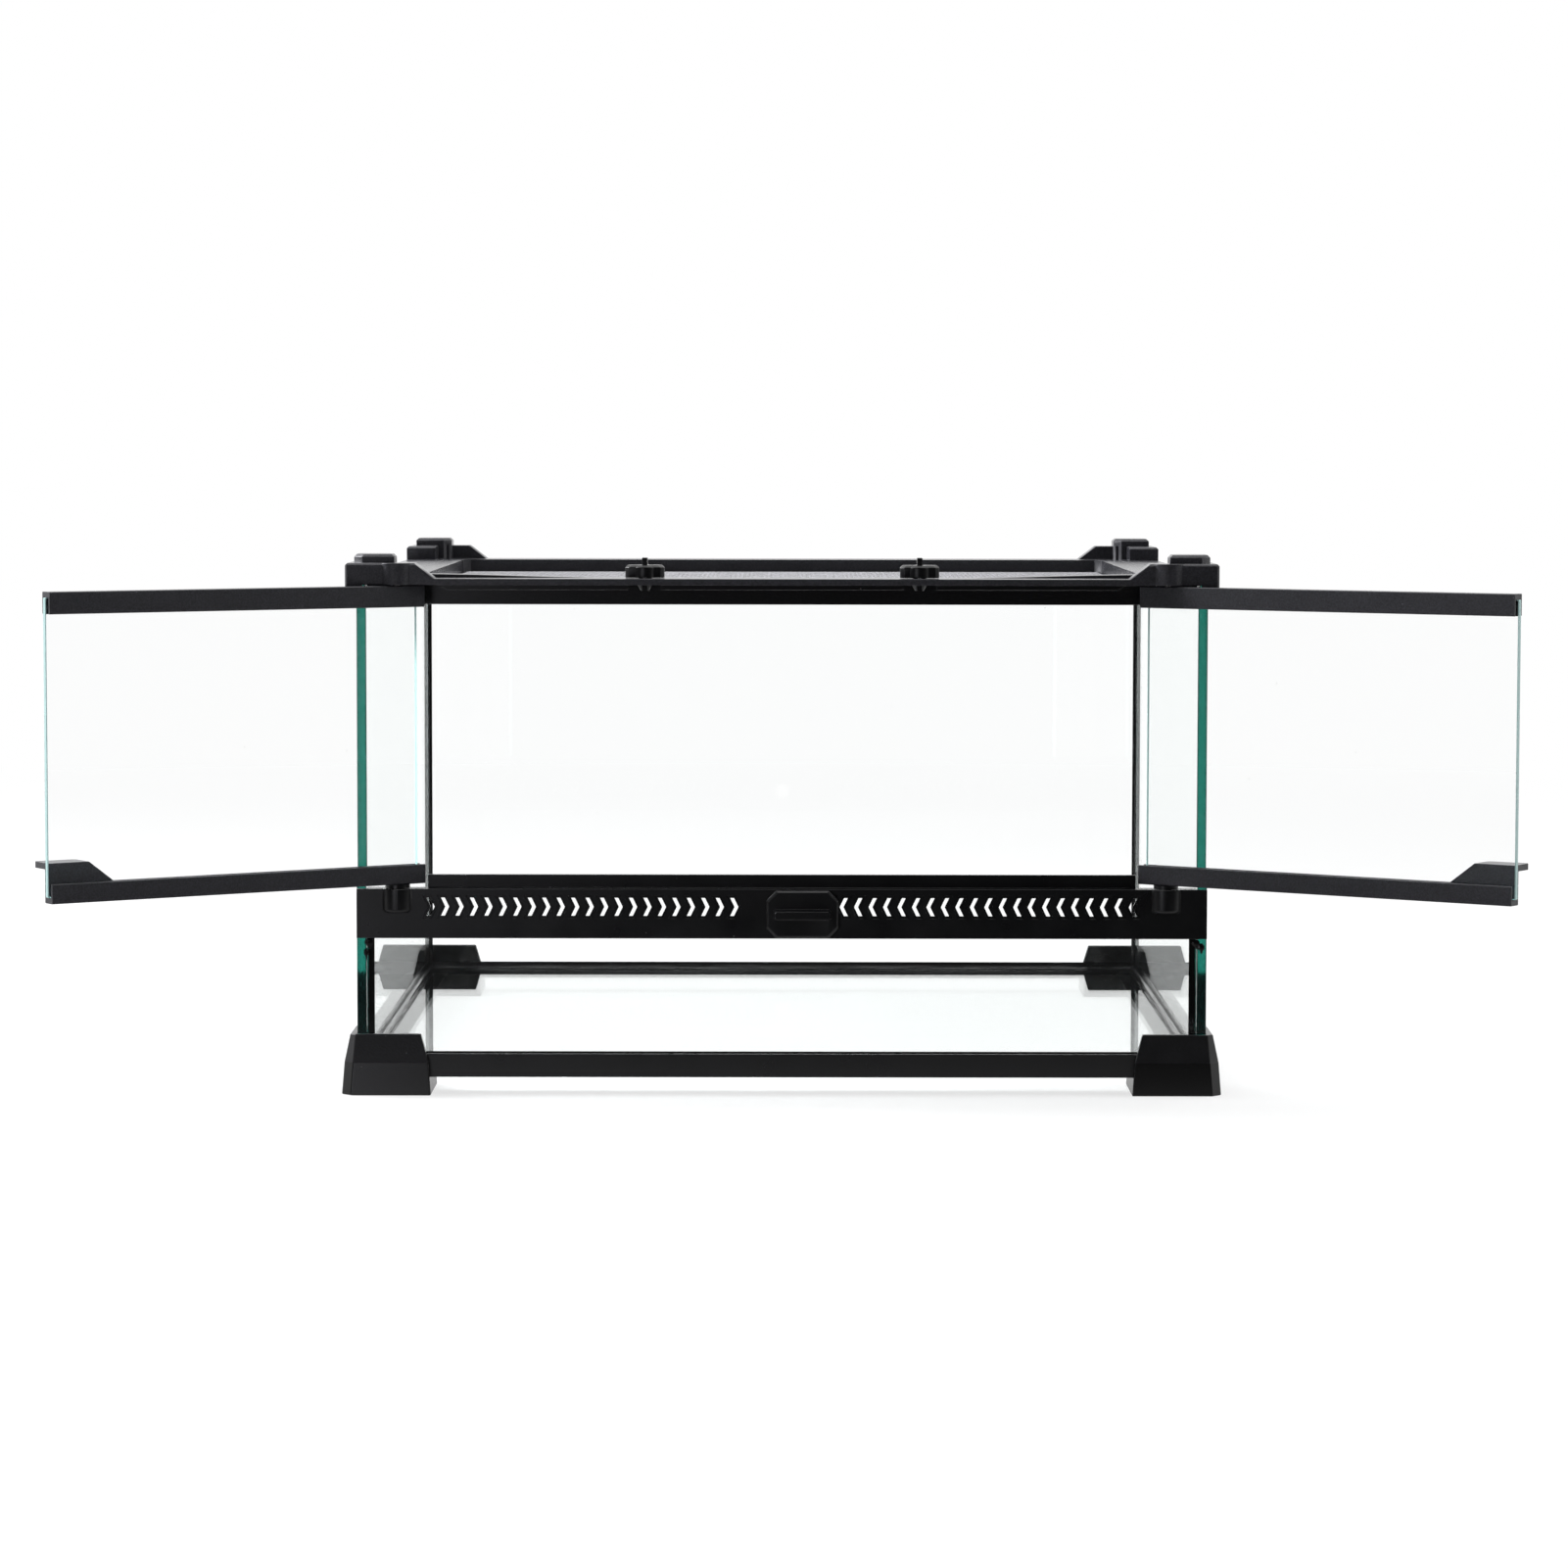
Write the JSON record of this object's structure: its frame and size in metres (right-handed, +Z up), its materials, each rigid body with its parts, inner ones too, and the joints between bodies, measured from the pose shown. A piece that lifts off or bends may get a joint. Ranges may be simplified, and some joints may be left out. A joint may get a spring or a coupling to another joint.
{
  "type": "reptile terrarium",
  "caption": "Square glass terrarium on moulded feet, with hinged front doors, turn latch, chevron vent strip and a locked lift-out screen lid.",
  "frame": {"origin": "middle of the footprint, on the ground plane under the four feet", "axes": "+X along the width to the viewer's right, +Y from the doors to the rear pane, +Z up"},
  "size_m": [0.7504, 0.5678, 0.2829],
  "materials": {
    "box_glass": "clear float glass with green ground edges",
    "door_glass": "clear thin glass with pale cyan edges",
    "silicone": "black tooled silicone",
    "textured_plastic": "black, fine spark texture",
    "satin_plastic": "near black, satin",
    "steel": "zinc plated",
    "mesh_wire": "black coated woven wire"
  },
  "bodies": {
    "tank": {"floor_pane": "box_glass", "left_pane": "box_glass", "right_pane": "box_glass", "rear_pane": "box_glass", "low_front_pane": "box_glass", "silicone_seams": "silicone", "foot_front_left": "textured_plastic", "foot_front_right": "textured_plastic", "foot_rear_left": "textured_plastic", "foot_rear_right": "textured_plastic", "base_rail_front": "satin_plastic", "base_rail_rear": "satin_plastic", "base_rail_left": "satin_plastic", "base_rail_right": "satin_plastic", "vent_strip": "satin_plastic", "top_frame": "textured_plastic"},
    "left_door": {"left_door_glass": "door_glass", "left_door_top_rail": "textured_plastic", "left_door_bottom_rail": "textured_plastic", "left_door_handle": "textured_plastic", "left_hinge_pins": "steel", "left_hinge_washer": "satin_plastic"},
    "right_door": {"right_door_glass": "door_glass", "right_door_top_rail": "textured_plastic", "right_door_bottom_rail": "textured_plastic", "right_door_handle": "textured_plastic", "right_hinge_pins": "steel", "right_hinge_washer": "satin_plastic"},
    "latch": {"door_latch": "satin_plastic", "latch_screw": "steel"},
    "lid": {"lid_frame": "textured_plastic", "lid_mesh": "mesh_wire"},
    "left_lock": {"lid_lock_left": "textured_plastic"},
    "right_lock": {"lid_lock_right": "textured_plastic"}
  },
  "joints": [
    {"name": "left_door_hinge", "type": "hinge", "parent": "tank", "child": "left_door", "pos_m": [-0.201, -0.22225, 0.188], "axis": [0, 0, -1], "range_deg": [-146, 3]},
    {"name": "right_door_hinge", "type": "hinge", "parent": "tank", "child": "right_door", "pos_m": [0.201, -0.22225, 0.188], "axis": [0, 0, 1], "range_deg": [-146, 3]},
    {"name": "latch_turn", "type": "hinge", "parent": "tank", "child": "latch", "pos_m": [0, -0.2265, 0.09525], "axis": [0, -1, 0], "range_deg": [0, 90]},
    {"name": "left_lock_turn", "type": "hinge", "parent": "tank", "child": "left_lock", "pos_m": [-0.0718, -0.212, 0.272], "axis": [0, 0, 1], "range_deg": [0, 90]},
    {"name": "right_lock_turn", "type": "hinge", "parent": "tank", "child": "right_lock", "pos_m": [0.0718, -0.212, 0.272], "axis": [0, 0, 1], "range_deg": [0, 90]},
    {"name": "lid_lift", "type": "slide", "parent": "tank", "child": "lid", "axis": [0, 0, 1], "range_m": [0, 0.12]}
  ]
}
